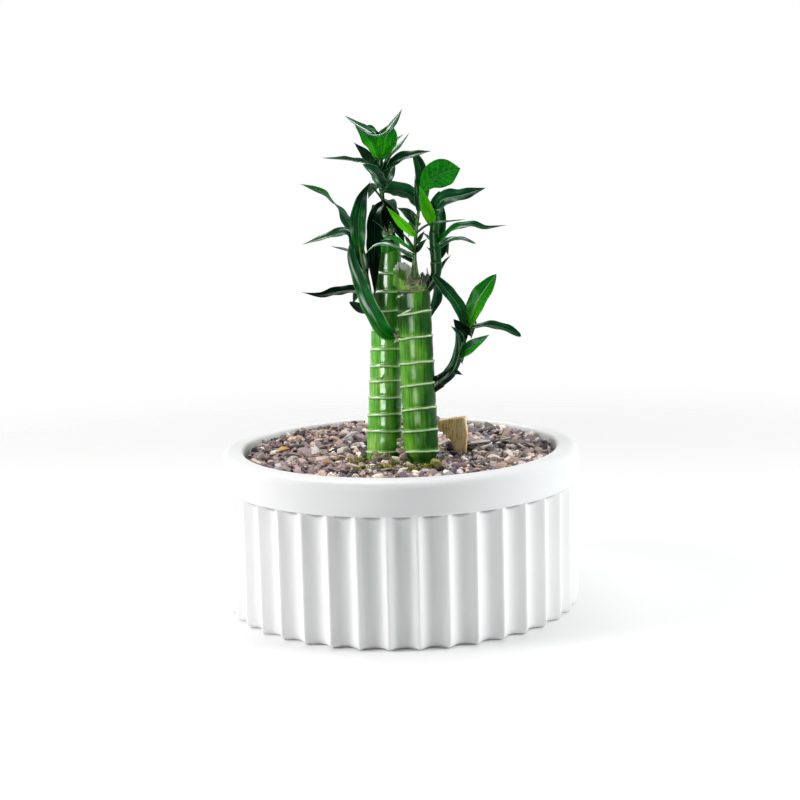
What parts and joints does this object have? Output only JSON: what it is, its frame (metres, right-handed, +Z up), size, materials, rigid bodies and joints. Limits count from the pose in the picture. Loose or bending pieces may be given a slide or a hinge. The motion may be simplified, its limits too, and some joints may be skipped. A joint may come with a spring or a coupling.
{
  "type": "house plant",
  "caption": "Lucky bamboo in a round fluted ceramic pot: upright green canes with leafy shoots, standing in soil covered with gravel",
  "frame": {"origin": "Centre of the pot's round foot, on the surface that it stands on", "axes": "+Z up. The pictured front of the plant faces -Y and +X is on the right as seen from there. The pot's own wall is the same all the way round"},
  "size_m": [0.18, 0.18, 0.2472],
  "materials": {
    "pot": "white, satin glaze",
    "soil": "dark potting soil",
    "gravel": "mixed pinkish brown and cream gravel",
    "wood_chip": "split, untreated",
    "cane": "living green cane with a waxy gloss",
    "dry_sheath": "dry papery leaf sheath",
    "leaf": "living green leaf with a soft gloss"
  },
  "bodies": {
    "root": {"pot": "pot", "soil": "soil", "gravel": "gravel", "wood_chip": "wood_chip", "tall_cane": "cane", "cut_cane": "cane", "dry_sheath": "dry_sheath", "top_shoot": "leaf", "middle_shoot": "leaf", "right_shoot": "leaf", "left_shoot": "leaf", "lower_shoot": "leaf"}
  },
  "joints": []
}
